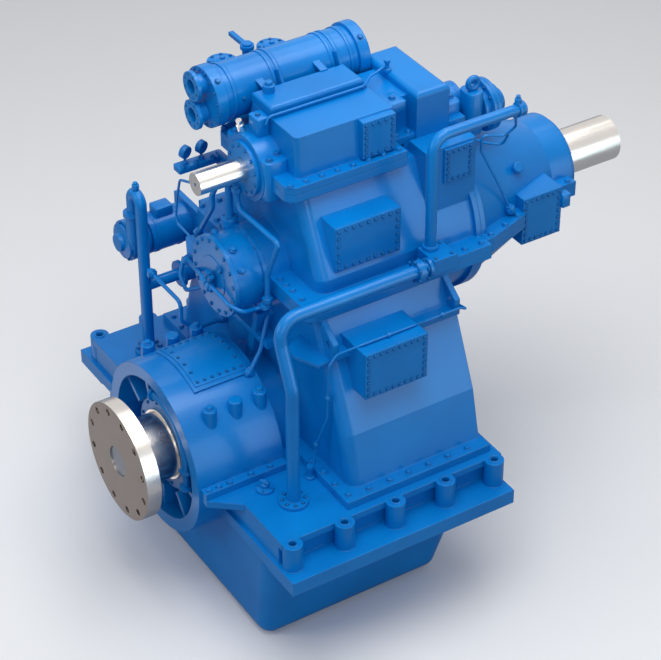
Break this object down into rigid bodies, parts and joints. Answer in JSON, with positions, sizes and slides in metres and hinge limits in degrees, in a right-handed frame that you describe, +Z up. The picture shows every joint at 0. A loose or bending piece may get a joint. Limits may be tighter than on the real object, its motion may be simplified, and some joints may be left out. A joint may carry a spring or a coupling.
{
  "type": "marine gearbox",
  "caption": "Marine reduction gearbox with vertically offset shafts, a clutched input, a generator takeoff, an oil cooler, pipework and a bolted foundation.",
  "frame": {"origin": "centre of the output flange's coupling face", "axes": "+Y along the shafts towards the engine, +X to the side of the supply pipe, +Z up"},
  "size_m": [2.62, 3.549, 3.162],
  "materials": {
    "blue_paint": "glossy machinery enamel",
    "shaft_steel": "fine turned, oiled",
    "gear_steel": "ground tooth flanks",
    "clutch_steel": "machined",
    "bearing_metal": "white metal on a bronze back"
  },
  "bodies": {
    "root": {"lower_casing": "blue_paint", "oil_sump": "blue_paint", "output_bearing_cap": "blue_paint", "drum_inspection_cover": "blue_paint", "main_casing": "blue_paint", "middle_casing": "blue_paint", "top_cover": "blue_paint", "oil_distribution_box": "blue_paint", "clutch_housing_lower": "blue_paint", "clutch_housing_upper": "blue_paint", "clutch_housing_box": "blue_paint", "clutch_housing_cover": "blue_paint", "top_side_cover": "blue_paint", "lower_side_covers": "blue_paint", "middle_side_covers": "blue_paint", "tower_covers": "blue_paint", "input_housing": "blue_paint", "input_front_cover": "blue_paint", "input_seal_cover": "blue_paint", "takeoff_seal_cover": "blue_paint", "takeoff_rear_cover": "blue_paint", "output_seal_cover": "blue_paint", "output_rear_cover": "blue_paint", "oil_cooler_shell": "blue_paint", "cooler_front_head": "blue_paint", "cooler_rear_head": "blue_paint", "cooler_feet": "blue_paint", "filter_body": "blue_paint", "filter_lids": "blue_paint", "filter_bracket": "blue_paint", "supply_pipe": "blue_paint", "valve_block": "blue_paint", "control_pipe": "blue_paint", "suction_pipe": "blue_paint", "standby_pump": "blue_paint", "pump_motor": "blue_paint", "pump_bracket": "blue_paint", "thrust_housing": "blue_paint", "output_bushes": "bearing_metal", "input_bushes": "bearing_metal", "takeoff_bushes": "bearing_metal", "thrust_rings": "bearing_metal"},
    "output_rotor": {"output_shaft": "shaft_steel", "spigot_disc": "blue_paint", "bull_gear": "gear_steel"},
    "input_rotor": {"input_shaft": "shaft_steel", "pinion_shaft": "shaft_steel", "input_pinion": "gear_steel", "step_up_gear": "gear_steel", "clutch_drum": "clutch_steel", "clutch_backing_ring": "clutch_steel", "clutch_outer_discs": "clutch_steel", "clutch_inner_discs": "clutch_steel"},
    "takeoff_rotor": {"takeoff_shaft": "shaft_steel", "takeoff_gear": "gear_steel"},
    "clutch_piston": {"clutch_piston": "clutch_steel"},
    "changeover_lever": {"changeover_lever": "blue_paint"}
  },
  "joints": [
    {"name": "output_turn", "type": "hinge", "parent": "root", "child": "output_rotor", "pos_m": [0, 0.465, 0], "axis": [0, 1, 0], "continuous": true},
    {"name": "input_turn", "type": "hinge", "parent": "root", "child": "input_rotor", "pos_m": [0, 3.005, 1.08], "axis": [0, 1, 0], "continuous": true},
    {"name": "takeoff_turn", "type": "hinge", "parent": "root", "child": "takeoff_rotor", "pos_m": [0, 1, 1.74], "axis": [0, 1, 0], "continuous": true},
    {"name": "piston_slide", "type": "slide", "parent": "input_rotor", "child": "clutch_piston", "axis": [0, 1, 0], "range_m": [0, 0.008]},
    {"name": "lever_swing", "type": "hinge", "parent": "root", "child": "changeover_lever", "pos_m": [-0.665, 1.3385, 2.08], "axis": [0, 0, 1], "range_deg": [0, 90]}
  ],
  "couplings": [
    {"joint": "input_turn", "follows": "output_turn", "ratio": -3},
    {"joint": "takeoff_turn", "follows": "output_turn", "ratio": 6.4286}
  ]
}
